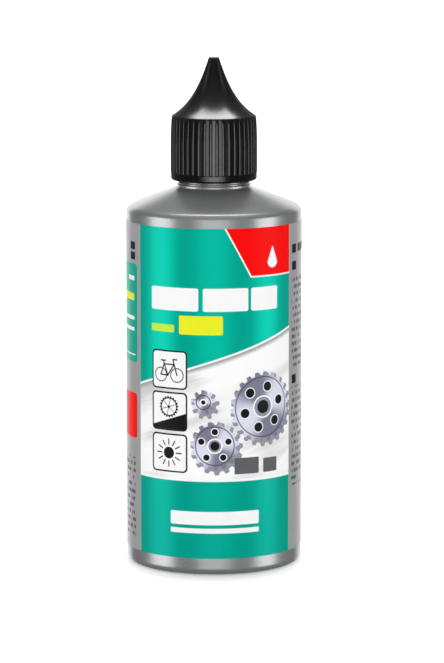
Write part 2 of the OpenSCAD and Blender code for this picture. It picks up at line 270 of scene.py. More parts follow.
# The neck bead, from its root on the shoulder up over its two steps, as (out, up) from its edge.
# Below it the outside runs from the pushed-up base over the foot ring, heel, wall and shoulder.
neck_bead = path(
    (0.45, -0.22), (0.1, -0.07), (0, 0.03), (0, 0.1), (0, 0.42), arc(-0.1, 0.48, 0.1, 0, 90, 4),
    (-0.9, 0.6), (-0.92, 0.84), (-0.4, 0.88), arc(-0.38, 0.96, 0.08, -70, 90, 6), (-0.9, 1.07),
    (-0.95, 1.6)) + (BEAD_R, BEAD_Z)
outside = path(
    (0, PUSH_UP), (PUSH_R - 0.4, PUSH_UP), arc(PUSH_R, PUSH_UP - 0.4, 0.4, 90, 50, 3),
    (FOOT_IN_R, 0), (FOOT_IN_R + 0.2, 0),
    arc(FOOT_R, HEEL, HEEL, -90, 0, 12) * (1, HEEL_STRETCH),
    shoulder(BODY_R, WALL_TOP, tight=1.65, wide=36, turn=64, lean=69),
    neck_bead, (NECK_R + 0.15, BEAD_Z + 1.75), (NECK_R, BEAD_Z + 1.95),
    arc(NECK_R - 0.35, RIM_Z - 0.35, 0.35, 0, 90, 6))
inside = path(
    (BORE_R + 0.1, RIM_Z), (BORE_R, RIM_Z - 0.1), (BORE_R, BORE_LOW),
    arc(INNER_R - INNER_TURN, INNER_TOP, INNER_TURN, INNER_LEAN, 0, 12),
    arc(INNER_R - INNER_HEEL, BASE_T + INNER_HEEL, INNER_HEEL, 0, -90, 6),
    (FOOT_IN_R, BASE_T), (PUSH_R, BASE_T + PUSH_UP), (0, BASE_T + PUSH_UP))
around = np.radians(np.arange(0, 360, 1.875))


def weld_bar(length, width, low, high):
    """Closed bar with round ends, narrower at its lower edge. Each level is two half circles
    joined by straights: (k cos t width / 2 + sign(cos t) (length - width) / 2, k sin t width / 2)
    with its own share k."""
    t = np.radians(np.arange(7.5, 360, 15))
    x, y = np.cos(t) * width / 2, np.sin(t) * width / 2
    end = np.sign(x) * (length - width) / 2
    levels = [(0.55, low), (0.85, low + 0.08), (1.0, low + 0.2), (1.0, high)]
    return np.stack([np.stack([k * x + end, k * y, 0 * t + z], -1) for k, z in levels])


bottle = piece(
    "bottle_shell",
    [(turned(between(path(outside, inside), 4), around), False, True, False),
     (thread(NECK_R, NECK_THREAD_R, NECK_THREAD_Z), False, True, True),
     (weld_bar(WELD_L, WELD_W, PUSH_UP - 0.5, PUSH_UP + 0.2), False, True, True)],
    bottle_finish, "bottle", "bottle")

# LUBE
# 100 ml of clear amber chain oil that fills the bottle to just below the shoulder. It stands
# clear of the wall by a tenth of a millimetre.

lube_finish, tree, shader, place = finish_of("amber_oil", (0.85, 0.56, 0.16), 0.03)
shader.inputs["IOR"].default_value = 1.47
shader.inputs["Transmission Weight"].default_value = 1.0
cloud = node(tree, "TexNoise", {"Vector": place, "Scale": 30.0, "Detail": 2.0})
tree.links.new(lay(tree, cloud.outputs[0], (0.8, 0.5, 0.12, 1), (0.9, 0.63, 0.22, 1)),
               shader.inputs["Base Color"])
CLEAR = 0.1
LUBE_LOW = BASE_T + CLEAR
LUBE_R = INNER_R - CLEAR
LUBE_TOP = 79.65
lube_side = path((0, LUBE_LOW + PUSH_UP), (PUSH_R, LUBE_LOW + PUSH_UP), (FOOT_IN_R, LUBE_LOW),
                 arc(LUBE_R - INNER_HEEL, LUBE_LOW + INNER_HEEL, INNER_HEEL, -90, 0, 6),
                 arc(LUBE_R - 0.2, LUBE_TOP - 0.2, 0.2, 0, 90, 3), (0, LUBE_TOP))
lube = piece("lube_fill", [(turned(between(lube_side, 8), around), False, True, False)],
             lube_finish, "bottle", "lube")

# DROPPER INSERT
# Soft LDPE insert, moulded in one: a plug with two sealing beads pressed into the neck's bore, a
# flange on its rim, and a tapered spout with the drop hole.

nozzle_finish, tree, shader, place = finish_of("milky_ldpe", (0.86, 0.86, 0.83), 0.38)
shader.inputs["Subsurface Weight"].default_value = 0.35
shader.inputs["Subsurface Radius"].default_value = (1.0, 0.9, 0.8)
shader.inputs["Subsurface Scale"].default_value = 0.0012
surface = use(tree, skin, {"Place": place, "Grain per m": 1800.0, "Drift per m": 200.0})
drift_gloss(tree, shader, surface["Gloss drift"], 0.2, 0.38)
bump(tree, shader, surface["Height"], 0.00002)
PLUG_R = 6.28
PLUG_END = RIM_Z - 7
FLANGE_R = 7.9
FLANGE_Z = RIM_Z + 1
SPOUT_R = 3.4
SPOUT_TIP = 119.78
HOLE_R = 0.6


def sealing_bead(z):
    """A rounded bead round the plug at height z: it stands out by 0.11 cos(pi t / 2) at z + 0.4 t,
    for t from -1 to 1."""
    t = np.linspace(-1, 1, 9)
    return np.stack([PLUG_R + 0.11 * np.cos(t * np.pi / 2), z + 0.4 * t], 1)


nozzle_side = path(
    (PLUG_R - 1, PLUG_END), (PLUG_R - 0.6, PLUG_END), (PLUG_R, PLUG_END + 1),
    sealing_bead(PLUG_END + 2.2), sealing_bead(RIM_Z - 2), (PLUG_R, RIM_Z), (FLANGE_R, RIM_Z),
    arc(FLANGE_R - 0.2, FLANGE_Z - 0.2, 0.2, 0, 90, 4),
    arc(SPOUT_R + 0.9, FLANGE_Z + 0.9, 0.9, 270, 180, 8),
    arc(0.9, SPOUT_TIP - 0.2, 0.2, 15, 90, 5),
    arc(HOLE_R + 0.1, SPOUT_TIP - 0.1, 0.1, 90, 180, 3), (HOLE_R, SPOUT_TIP - 2.5),
    (SPOUT_R - 0.9, FLANGE_Z + 0.9), (SPOUT_R - 0.9, FLANGE_Z - 0.1), (PLUG_R - 1, RIM_Z - 1))
small_around = np.radians(np.arange(0, 360, 3.75))
nozzle = piece("dropper_insert", [(turned(nozzle_side, small_around), True, True, False)],
               nozzle_finish, "bottle", "nozzle")

# SEALING RING
# Ring punched from white closed-cell PE foam sheet. It sits behind the cap's thread, against the
# deck, and seals on the insert's flange.

foam_finish, tree, shader, place = finish_of("white_pe_foam", (0.86, 0.86, 0.84), 0.7)
cells = node(tree, "TexVoronoi", {"Vector": place, "Scale": 3500.0})
bump(tree, shader, cells.outputs["Distance"], 0.00006)
tree.links.new(lay(tree, ramp(tree, cells.outputs["Distance"], 0.0, 0.6),
                   (0.8, 0.8, 0.78, 1), (0.9, 0.9, 0.88, 1)), shader.inputs["Base Color"])
RING_IN_R = 5.5
RING_R = 8.85
RING_T = 0.8
RING_EDGE = 0.1
ring_side = path(*(arc(r, FLANGE_Z + z, RING_EDGE, start, start + 90, 3) for r, z, start in (
    (RING_IN_R + RING_EDGE, RING_T - RING_EDGE, 90), (RING_IN_R + RING_EDGE, RING_EDGE, 180),
    (RING_R - RING_EDGE, RING_EDGE, 270), (RING_R - RING_EDGE, RING_T - RING_EDGE, 0))))
ring = piece("foam_ring", [(turned(ring_side, small_around), True, True, False)],
             foam_finish, "seal", "seal_ring")

# LABEL
# Wraparound film label of silvered PP, glued round the straight wall, with its ends overlapped at
# the back. The front panel is printed in transparent teal, opaque white and red on the silver.

LABEL_R = 21.57
FILM_IN_R = 21.52
LABEL_LOW = 4.1
LABEL_TOP = 84.7
OVERLAP = 0.045
SEAM_AT = 84
SEAM_RUN = 26
SEAM_FADE = 14


def film_radius(angle):
    """Outer radius of the film: LABEL_R, and more by the overlapping end from SEAM_AT degrees on,
    which sinks evenly to nothing over the last SEAM_FADE of its SEAM_RUN degrees."""
    past = np.degrees(angle) - SEAM_AT
    return LABEL_R + OVERLAP * np.where(past < 0, 0, np.clip((SEAM_RUN - past) / SEAM_FADE, 0, 1))


film_angles = np.radians(np.unique(np.concatenate(
    [np.arange(0, 360, 1.875), SEAM_AT + np.array([-0.02, 0, 0.02]),
     np.arange(90, SEAM_AT + SEAM_RUN + 2)])))
outer = film_radius(film_angles)
inner = 0 * outer + FILM_IN_R
rows = [(outer - 0.02, LABEL_LOW), (outer, LABEL_LOW + 0.03), (outer, LABEL_TOP - 0.03),
        (outer - 0.02, LABEL_TOP), (inner, LABEL_TOP), (inner, LABEL_LOW)]
# The film's section, from its outside round to its inside, turned about Z: (r cos t, r sin t, z)
film = np.stack([np.stack([r * np.cos(film_angles), r * np.sin(film_angles), 0 * r + z], -1)
                 for r, z in rows])

# A place on the unrolled label in millimetres: Arc from the front's middle, and Height
UNROLL_R = 21.6
unroll, came, goes = new_group("unrolled", [("Place", "Vector")],
                               [("Arc", "Float"), ("Height", "Float")])
xyz = node(unroll, "SeparateXYZ", {0: came[0]}).outputs
turn = calc(unroll, "ARCTAN2", xyz[0], calc(unroll, "MULTIPLY", xyz[1], -1.0))
unroll.links.new(calc(unroll, "MULTIPLY", turn, UNROLL_R), goes["Arc"])
unroll.links.new(calc(unroll, "MULTIPLY", xyz[2], 1000.0), goes["Height"])

SOFT = 0.07


def mask_out(tree, distance):
    """1 inside a shape and 0 outside it, from the signed distance to its edge in millimetres."""
    return ramp(tree, distance, -SOFT, SOFT, 1.0, 0.0)


def diagonal(tree, a, b):
    """How far a along and b across lead together: (a^2 + b^2)^0.5."""
    return calc(tree, "SQRT", calc(tree, "MULTIPLY_ADD", a, a, calc(tree, "MULTIPLY", b, b)))


def from_centre(tree, came):
    """How far Arc and Height lie from the shape's centre."""
    return (calc(tree, "SUBTRACT", came["Arc"], came["X"]),
            calc(tree, "SUBTRACT", came["Height"], came["Z"]))


spot = [("Arc", "Float"), ("Height", "Float"), ("X", "Float"), ("Z", "Float")]

# A block with rounded corners
block, came, goes = new_group("print_block", spot + [("Half w", "Float"), ("Half h", "Float"),
                                                     ("Corner", "Float")], [("Mask", "Float")])
dx, dz = from_centre(block, came)
past = [calc(block, "ADD", calc(block, "SUBTRACT", calc(block, "ABSOLUTE", d), came[half]),
             came["Corner"]) for d, half in ((dx, "Half w"), (dz, "Half h"))]
out = [calc(block, "MAXIMUM", value, 0.0) for value in past]
length = diagonal(block, *out)
deep = calc(block, "MINIMUM", calc(block, "MAXIMUM", past[0], past[1]), 0.0)
block.links.new(mask_out(block, calc(block, "SUBTRACT", calc(block, "ADD", length, deep),
                                     came["Corner"])), goes[0])

# A ring, or a full disc where Inner is below zero
hoop, came, goes = new_group("print_ring", spot + [("Outer", "Float"), ("Inner", "Float")],
                             [("Mask", "Float")])
dx, dz = from_centre(hoop, came)
radius = diagonal(hoop, dx, dz)
hoop.links.new(mask_out(hoop, calc(hoop, "MAXIMUM", calc(hoop, "SUBTRACT", radius, came["Outer"]),
                                   calc(hoop, "SUBTRACT", came["Inner"], radius))), goes[0])

# A round-ended stroke from one point to another, whose half width may change on the way
stroke, came, goes = new_group("print_stroke", spot + [("To X", "Float"), ("To Z", "Float"),
                                                       ("Half", "Float"), ("To half", "Float")],
                               [("Mask", "Float")])
dx, dz = from_centre(stroke, came)
rx = calc(stroke, "SUBTRACT", came["To X"], came["X"])
rz = calc(stroke, "SUBTRACT", came["To Z"], came["Z"])
dot = calc(stroke, "MULTIPLY_ADD", dx, rx, calc(stroke, "MULTIPLY", dz, rz))
length2 = calc(stroke, "MULTIPLY_ADD", rx, rx, calc(stroke, "MULTIPLY", rz, rz))
share = calc(stroke, "DIVIDE", dot, length2, clamp=True)
ox = calc(stroke, "SUBTRACT", dx, calc(stroke, "MULTIPLY", share, rx))
oz = calc(stroke, "SUBTRACT", dz, calc(stroke, "MULTIPLY", share, rz))
off = diagonal(stroke, ox, oz)
half = calc(stroke, "MULTIPLY_ADD", share, calc(stroke, "SUBTRACT", came["To half"], came["Half"]),
            came["Half"])
stroke.links.new(mask_out(stroke, calc(stroke, "SUBTRACT", off, half)), goes[0])

# A toothed wheel: a disc whose radius waves in and out once for each tooth. Sheen is the glint of
# turned metal, which goes round the wheel twice.
cog, came, goes = new_group("print_cog", spot + [("Radius", "Float"), ("Teeth", "Float"),
                                                 ("Depth", "Float"), ("Glint at", "Float")],
                            [("Mask", "Float"), ("Sheen", "Float")])
dx, dz = from_centre(cog, came)
radius = diagonal(cog, dx, dz)
angle = calc(cog, "ARCTAN2", dz, dx)
wave = calc(cog, "SINE", calc(cog, "MULTIPLY", angle, came["Teeth"]))
square = calc(cog, "MULTIPLY", ramp(cog, wave, -0.55, 0.55, -1.0, 1.0), came["Depth"])
edge = calc(cog, "ADD", came["Radius"], square)
cog.links.new(mask_out(cog, calc(cog, "SUBTRACT", radius, edge)), goes["Mask"])
glint = calc(cog, "SINE", calc(cog, "MULTIPLY_ADD", angle, 2.0, came["Glint at"]))
cog.links.new(calc(cog, "MULTIPLY_ADD", glint, 0.5, 0.5), goes["Sheen"])

# Rows of dashes of uneven length, Row millimetres apart
dashes, came, goes = new_group("dash_rows", spot[:2] + [("Row", "Float")], [("Mask", "Float")])
row = calc(dashes, "DIVIDE", came["Height"], came["Row"])
in_row = calc(dashes, "ABSOLUTE", calc(dashes, "SUBTRACT", calc(dashes, "FRACT", row), 0.5))
along = node(dashes, "CombineXYZ", {0: calc(dashes, "MULTIPLY", came["Arc"], 0.9),
                                    1: calc(dashes, "MULTIPLY", calc(dashes, "FLOOR", row), 7.3)})
breaks = node(dashes, "TexNoise", {"Vector": along.outputs[0], "Scale": 1.0, "Detail": 1.0})
dashes.links.new(calc(dashes, "MULTIPLY", ramp(dashes, in_row, 0.2, 0.3, 1.0, 0.0),
                       ramp(dashes, breaks.outputs[0], 0.46, 0.5)), goes[0])

label_finish, tree, shader, place = finish_of(
    "printed_film", (0.5, 0.5, 0.5), 0.35, metallic=0.35, specular=0.05)
at = use(tree, unroll, {"Place": place})
here = {"Arc": at["Arc"], "Height": at["Height"]}


def part(group, *values):
    """The mask of a print shape centred or starting at X, Z. Its values follow the order of its
    group's sockets, such as X, Z, half width, half height and corner for a block."""
    names = [s.name for s in group.interface.items_tree if s.in_out == "INPUT"][2:]
    return use(tree, group, {**here, **dict(zip(names, values))})["Mask"]


def both(a, b):
    """Where both masks are 1."""
    return calc(tree, "MULTIPLY", a, b)


def above(z, slope=0.0, blur=SOFT):
    """1 above a straight edge that crosses the front's middle at height z."""
    edge = calc(tree, "MULTIPLY_ADD", at["Arc"], -slope, at["Height"])
    return ramp(tree, edge, z - blur, z + blur)


def below(z, slope=0.0):
    """1 below a straight edge that crosses the front's middle at height z."""
    return calc(tree, "SUBTRACT", 1.0, above(z, slope))


def field(left, right, low, high, corner=0.0):
    """The mask of an upright field between two edges and two heights."""
    return part(block, (left + right) / 2, (low + high) / 2, (right - left) / 2, (high - low) / 2,
                corner)


WHITE = (0.94, 0.94, 0.94, 1)
BLACK = (0.01, 0.01, 0.012, 1)
TEAL = (0.0, 0.455, 0.335, 1)
DEEP_TEAL = (0.0, 0.385, 0.295, 1)
RED = (0.95, 0.002, 0.002, 1)
YELLOW = (0.82, 0.86, 0.02, 1)
PALE_GREEN = (0.55, 0.84, 0.05, 1)
GREY = (0.12, 0.12, 0.13, 1)
SHADE = (0.3, 0.3, 0.33, 1)
SOFT_SHADE = (0.36, 0.36, 0.37, 1)
STEEL_DARK = (0.2, 0.2, 0.28, 1)
STEEL_LIGHT = (0.72, 0.73, 0.86, 1)
STEEL_RIM = (0.07, 0.07, 0.1, 1)
STEEL_HUB = (0.3, 0.3, 0.38, 1)
FIELD_SHADE = (0.6, 0.59, 0.58, 1)
FIELD_GLEAM = (0.97, 0.97, 0.97, 1)

printed = (0.42, 0.42, 0.43, 1)
metal = 0.3
panel = field(-21.1, 21.7, -16.0, 104.0)
SLOPE = 0.324


def ink(mask, color, shine=None):
    """Prints a colour over what is there. shine is its share of metal, where that changes."""
    global printed, metal
    printed = lay(tree, mask, printed, color)
    if shine is not None:
        metal = node(tree, "Mix", {0: mask, 2: metal, 3: shine}).outputs[0]


# Pale field of brushed silver white, with broad soft gleams that lean across it
lean = node(tree, "CombineXYZ", {
    0: calc(tree, "MULTIPLY_ADD", at["Height"], 0.35, at["Arc"]),
    1: calc(tree, "MULTIPLY_ADD", at["Arc"], -SLOPE, at["Height"])}).outputs[0]
gleam = node(tree, "TexNoise", {
    "Vector": node(tree, "Mapping", {"Vector": lean, "Scale": (0.03, 0.11, 1.0)}).outputs[0],
    "Scale": 1.0, "Detail": 2.0, "Roughness": 0.4}).outputs[0]
hairs = node(tree, "TexNoise", {
    "Vector": node(tree, "Mapping", {"Vector": lean, "Scale": (0.12, 5.0, 1.0)}).outputs[0],
    "Scale": 1.0, "Detail": 3.0}).outputs[0]
tone = calc(tree, "MULTIPLY_ADD", hairs, 0.16, gleam)
ink(panel, lay(tree, ramp(tree, tone, 0.38, 0.6), FIELD_SHADE, FIELD_GLEAM), 0.0)

# Toothed wheels in steel, each with a dark rim, white-edged holes and a black bore
for x, z, r, teeth, holes in ((12.6, 41.0, 8.2, 22, 6), (0.2, 31.9, 5.6, 15, 5),
                              (-2.6, 42.6, 2.6, 9, 0)):
    wheel = use(tree, cog, {**here, "X": x, "Z": z, "Radius": r, "Teeth": float(teeth),
                            "Depth": 0.42, "Glint at": 0.6})
    shadow = part(cog, x + 0.5, z - 0.7, r + 0.45, float(teeth), 0.42, 0.0)
    ink(both(panel, shadow), SHADE)
    ink(both(panel, wheel["Mask"]),
        lay(tree, ramp(tree, wheel["Sheen"], 0.1, 0.95), STEEL_DARK, STEEL_LIGHT))
    ink(both(panel, part(hoop, x, z, r - 0.75, r - 1.0)), STEEL_RIM)
    for k in range(holes):
        a = 2 * math.pi * (k + 0.25) / holes
        hx, hz, hr = x + 0.62 * r * math.cos(a), z + 0.62 * r * math.sin(a), 0.14 * r
        ink(both(panel, part(hoop, hx, hz, hr + 0.22, -1.0)), WHITE)
        ink(both(panel, part(hoop, hx, hz, hr, -1.0)), BLACK)
    ink(part(hoop, x, z, 0.34 * r, -1.0), WHITE)
    ink(part(hoop, x, z, 0.34 * r - 0.35, -1.0), STEEL_HUB)
    ink(part(hoop, x, z, 0.2 * r, -1.0), BLACK)

# Upper field with its slanted edge, which a white line and a soft shadow follow
UPPER_Z = 52.93
ink(both(panel, above(UPPER_Z - 1.33, SLOPE, 0.75)), SOFT_SHADE)
ink(both(panel, above(UPPER_Z - 0.53, SLOPE)), WHITE)
ink(both(panel, above(UPPER_Z, SLOPE)), TEAL, 0.4)

# Lower field under a white line
LOWER_Z = 23.1
ink(both(panel, below(LOWER_Z + 0.65)), WHITE, 0.0)
ink(both(panel, below(LOWER_Z)), DEEP_TEAL, 0.25)

# Red badge with a white edge, and a plain white drop on it. The badge's left edge is where the
# arc and BADGE_LEAN times the height add up to BADGE_EDGE.
BADGE_Z = 73.1
BADGE_LEAN = 0.55
BADGE_EDGE = 49.55
for grow, color in ((0.35, WHITE), (0.0, RED)):
    slant = calc(tree, "MULTIPLY_ADD", at["Height"], BADGE_LEAN, at["Arc"])
    left = BADGE_EDGE - 1.15 * grow
    right_of = ramp(tree, slant, left - SOFT, left + SOFT)
    ink(both(panel, both(right_of, above(BADGE_Z - grow))), color, 0.0)
ink(part(stroke, 15.4, 79.9, 15.4, 76.3, 0.12, 1.5), WHITE)

# Plain bars high on the panel: three white ones in a row, then a green one and a yellow one
for x, w in ((-10.2, 6.4), (2.9, 5.6), (13.1, 3.85)):
    ink(part(block, x, 67.5, w, 2.8, 0.5), WHITE, 0.0)
ink(part(block, -13.3, 60.3, 3.3, 0.9, 0.3), PALE_GREEN, 0.0)
ink(part(block, -3.25, 61.3, 5.4, 2.3, 0.4), YELLOW, 0.0)

# Three white tiles with black edges
TILE_X = -11.5
BIKE_Z, WHEEL_Z, SUN_Z = 50.2, 40.0, 29.8
for z in (BIKE_Z, WHEEL_Z, SUN_Z):
    ink(part(block, TILE_X, z, 4.95, 4.75, 1.1), BLACK, 0.0)
    ink(part(block, TILE_X, z, 4.55, 4.35, 0.8), WHITE)

# On the first, a bicycle: two wheels, a frame, a saddle and a bar
rear, fore, crank = (-2.25, -1.3), (2.25, -1.3), (-0.25, -1.4)
seat, post, head = (-1.3, 1.3), (-1.5, 2.1), (1.5, 1.3)
stem, grip, saddle_back, saddle_nose = (1.2, 2.5), (2.2, 2.5), (-2.1, 2.2), (-0.9, 2.2)
for x, z in (rear, fore):
    ink(part(hoop, TILE_X + x, BIKE_Z + z, 1.8, 1.55), BLACK)
for (x1, z1), (x2, z2) in ((rear, seat), (seat, head), (rear, crank), (crank, post), (crank, head),
                           (fore, stem), (saddle_back, saddle_nose), (stem, grip)):
    ink(part(stroke, TILE_X + x1, BIKE_Z + z1, TILE_X + x2, BIKE_Z + z2, 0.17, 0.17), BLACK)

# On the second, a knobbly wheel on a slope
axle_z = WHEEL_Z + 1.1
ink(part(cog, TILE_X, axle_z, 2.5, 20.0, 0.16, 0.0), BLACK)
ink(part(hoop, TILE_X, axle_z, 2.0, 0.35), WHITE)
for a in (0.3, 1.35, 2.4):
    dx, dz = 2 * math.cos(a), 2 * math.sin(a)
    ink(part(stroke, TILE_X - dx, axle_z - dz, TILE_X + dx, axle_z + dz, 0.08, 0.08), BLACK)
ink(both(part(block, TILE_X, WHEEL_Z, 4.6, 4.4, 0.8), below(WHEEL_Z + 2, 0.34)), BLACK)

# On the third, a sun with rays
ink(part(hoop, TILE_X, SUN_Z, 1.45, -1.0), BLACK)
for k in range(12):
    dx, dz = math.cos(math.pi * k / 6), math.sin(math.pi * k / 6)
    ink(part(stroke, TILE_X + 2.1 * dx, SUN_Z + 2.1 * dz, TILE_X + 3.3 * dx, SUN_Z + 3.3 * dz,
             0.16, 0.16), BLACK)

# Two grey bars low on the pale field, and two white ones on the lower field
ink(part(block, 8.2, 26.85, 3.2, 2.0, 0.3), GREY)
ink(part(block, 14.75, 26.6, 2.1, 1.75, 0.3), GREY)
ink(part(block, 0.2, 14.05, 11.2, 1.65, 0.4), WHITE, 0.0)
ink(part(block, 0.2, 10.95, 11.2, 0.6, 0.2), WHITE, 0.0)

# Left of the panel: a teal block with short bars, a plain red block and two small black ones
ink(part(block, -34.5, 62.7, 12.0, 12.1, 1.2), TEAL, 0.3)
for x, z, w, h, color in ((-25.9, 71.2, 1.9, 0.55, WHITE), (-29.4, 66.6, 5.2, 0.9, YELLOW),
                          (-27.5, 61.4, 3.4, 0.45, WHITE), (-28.5, 58.7, 4.4, 0.45, WHITE),
                          (-34.5, 52.4, 11.0, 0.15, WHITE)):
    ink(part(block, x, z, w, h, 0.15), color, 0.0)
ink(part(block, -28.9, 37.4, 6.2, 5.6, 1.0), RED, 0.0)
for z in (79.2, 76.7):
    ink(part(block, -25.0, z, 1.4, 0.95, 0.3), BLACK, 0.0)

# Rows of grey dashes on both sides of the panel, and black blocks beside them on the right
dash_mask = use(tree, dashes, {**here, "Row": 1.75})["Mask"]
for left, right, low, high in ((23.1, 43.0, 49.2, 72.0), (23.1, 43.0, 20.0, 44.6),
                               (-43.0, -23.6, 7.0, 27.0)):
    ink(both(field(left, right, low, high, 0.1), dash_mask), GREY, 0.0)
for z in (78.5, 74.3, 46.4):
    ink(part(block, 24.4, z, 1.2, 1.1, 0.3), BLACK, 0.0)
ink(part(block, 33.0, 78.5, 6.4, 1.0, 0.2), BLACK, 0.0)

tree.links.new(printed, shader.inputs["Base Color"])
tree.links.new(metal, shader.inputs["Metallic"])
surface = use(tree, skin, {"Place": place, "Grain per m": 500.0, "Drift per m": 45.0})
drift_gloss(tree, shader, surface["Gloss drift"], 0.12, 0.35)
bump(tree, shader, surface["Height"], 0.00001)

label = piece("label_film", [(film, True, True, False)], label_finish, "bottle", "label")

# CAP
# Screw cap moulded in one in black PP. Its skirt has a plain band and 42 grip ribs that sink into
# it at the top, and it is drawn out into a hollow trumpet-shaped cone with a flat tip. Inside are
# the land for the sealing ring, the thread, and the pin that closes the drop hole.

CAP_Z = 94.28
SKIRT_R = 10.3
BAND_R = 10.5
RIB_Z = 96.08
RIB_TOP = 109.68
EDGE_Z = 109.98
TOP_Z = 124.18
TIP_R = 1.3
ROOF_Z = 120.78
DECK_Z = 109.18
CAP_BORE_R = 9.15
CAP_THREAD_R = 8.1
CAP_THREAD_Z = 98.63
LAND_R = 7.0
RIBS = 42
RIB_H = 0.27
RIB_HALF_W = 0.42
RIB_FADE = 8.8


def flare(r_tip, z_tip, r_edge, z_edge, steps):
    """Cubic curve from the skirt's edge up to the tip, hollow like a trumpet's bell: the sum of
    its four corners times (1 - t)^3, 3 (1 - t)^2 t, 3 (1 - t) t^2 and t^3."""
    w, h = r_edge - r_tip, z_tip - z_edge
    corners = np.array([[r_edge, z_edge], [r_tip + 0.485 * w, z_edge + 0.208 * h],
                        [r_tip + 0.239 * w, z_edge + 0.541 * h], [r_tip, z_tip]])
    t = np.linspace(0, 1, steps + 1)[:, None]
    return ((1 - t) ** 3 * corners[0] + 3 * (1 - t) ** 2 * t * corners[1]
            + 3 * (1 - t) * t ** 2 * corners[2] + t ** 3 * corners[3])


def ribbed(profile, height, angles):
    """Grid of a profile turned about Z, pushed out by the height of each of its rows times the
    form of a rib, a half ellipse: (1 - (x / half width)^2)^0.5."""
    off = (angles * RIBS / (2 * np.pi) + 0.5) % 1 - 0.5
    mm = abs(off) * 2 * np.pi * SKIRT_R / RIBS
    form = np.sqrt(np.clip(1 - (mm / RIB_HALF_W) ** 2, 0, 1))
    return turned(profile, angles, height[:, None] * form)


# Columns of the grid across one rib and its groove, as shares of the ribs' spacing
columns = np.array([-0.5, -0.38, -0.3, -0.2725, -0.26, -0.23, -0.185, -0.13, -0.065, 0,
                    0.065, 0.13, 0.185, 0.23, 0.26, 0.2725, 0.3, 0.38])
cap_angles = (np.arange(RIBS)[:, None] + columns).reshape(-1) * 2 * np.pi / RIBS
skirt_z = np.concatenate([[RIB_Z + 0.02, RIB_Z + 0.12], np.linspace(RIB_Z + 0.6, 100.6, 3),
                          np.linspace(101, RIB_TOP - 0.3, 12), [RIB_TOP]])
sink = np.clip(1 - (RIB_TOP - skirt_z) / RIB_FADE, 0, 1) ** 3
skirt = np.stack([SKIRT_R - 0.17 * sink, skirt_z], 1)
rib_height = RIB_H - 0.08 * sink
rib_height[[0, -1]] = 0.14, 0.1
band = path(arc(BAND_R - 0.7, CAP_Z + 0.7, 0.7, -88, 0, 9), (BAND_R, RIB_Z - 0.14),
            (BAND_R, RIB_Z - 0.08), (BAND_R - 0.03, RIB_Z), (SKIRT_R + 0.05, RIB_Z + 0.01))
bell = path((SKIRT_R, EDGE_Z - 0.2), (SKIRT_R - 0.03, EDGE_Z - 0.06),
            flare(TIP_R, TOP_Z - 0.2, SKIRT_R - 0.16, EDGE_Z + 0.06, 30),
            arc(TIP_R - 0.25, TOP_Z - 0.22, 0.22, 20, 90, 4), (0, TOP_Z))
mouth = path((0, ROOF_Z - 2), (0.4, ROOF_Z - 2), (0.5, ROOF_Z - 1.9), (0.55, ROOF_Z),
             flare(TIP_R + 0.15, ROOF_Z, LAND_R, DECK_Z + 0.6, 18)[::-1], (LAND_R, DECK_Z),
             (CAP_BORE_R, DECK_Z), (CAP_BORE_R, CAP_Z + 0.5), (CAP_BORE_R + 0.3, CAP_Z),
             (CAP_BORE_R + 0.45, CAP_Z))
profile = path(mouth, band, skirt, bell)
height = np.concatenate([np.zeros(len(mouth) + len(band)), rib_height, np.zeros(len(bell))])

# Black plastic, smoother along the crests of the ribs and paler there in colour, which paints in a
# highlight along each crest
cap_finish, tree, shader, place = finish_of(
    "black_pp", (0.0014, 0.0014, 0.0014), 0.24, specular=0.27)
surface = use(tree, skin, {"Place": place, "Grain per m": 2200.0, "Drift per m": 160.0})
xyz = node(tree, "SeparateXYZ", {0: place}).outputs
from_axis = diagonal(tree, xyz[0], xyz[1])
crest = ramp(tree, from_axis, 0.01052, 0.010565)
crest_roughness = calc(tree, "MULTIPLY_ADD", crest, -0.04, 0.24)
drift_gloss(tree, shader, surface["Gloss drift"], 0.14, crest_roughness)
# Painted highlight: the base colour is paler along the crests of the ribs
tree.links.new(lay(tree, crest, (0.0014, 0.0014, 0.0015, 1), (0.016, 0.016, 0.0165, 1)),
               shader.inputs["Base Color"])
bump(tree, shader, surface["Height"], 0.000012)

cap = piece("screw_cap",
            [(ribbed(profile, height, cap_angles), False, True, False),
             (thread(CAP_BORE_R, CAP_THREAD_R, CAP_THREAD_Z), False, True, True)],
            cap_finish, "cap", "cap", sharp=40)

# FLOOR AND LIGHT
# A studio table of pale paper in a surround that looks white. Softboxes stand at both sides, in
# front, behind and overhead. The cap has its own, with brighter ones in front and overhead, and
# flags keep each lamp off the other pieces.

reach = np.linspace(-6, 6, 7)
floor_grid = np.stack([*np.meshgrid(reach, reach), np.full((7, 7), -0.0002)], -1)
floor_mesh = bpy.data.meshes.new("floor")
floor_mesh.from_pydata(floor_grid.reshape(-1, 3).tolist(), [],
                       grid_faces(7, 7, wrap_columns=False).tolist())
floor = bpy.data.objects.new("floor", floor_mesh)
bpy.context.scene.collection.objects.link(floor)
floor.visible_glossy = False
floor.visible_shadow = False
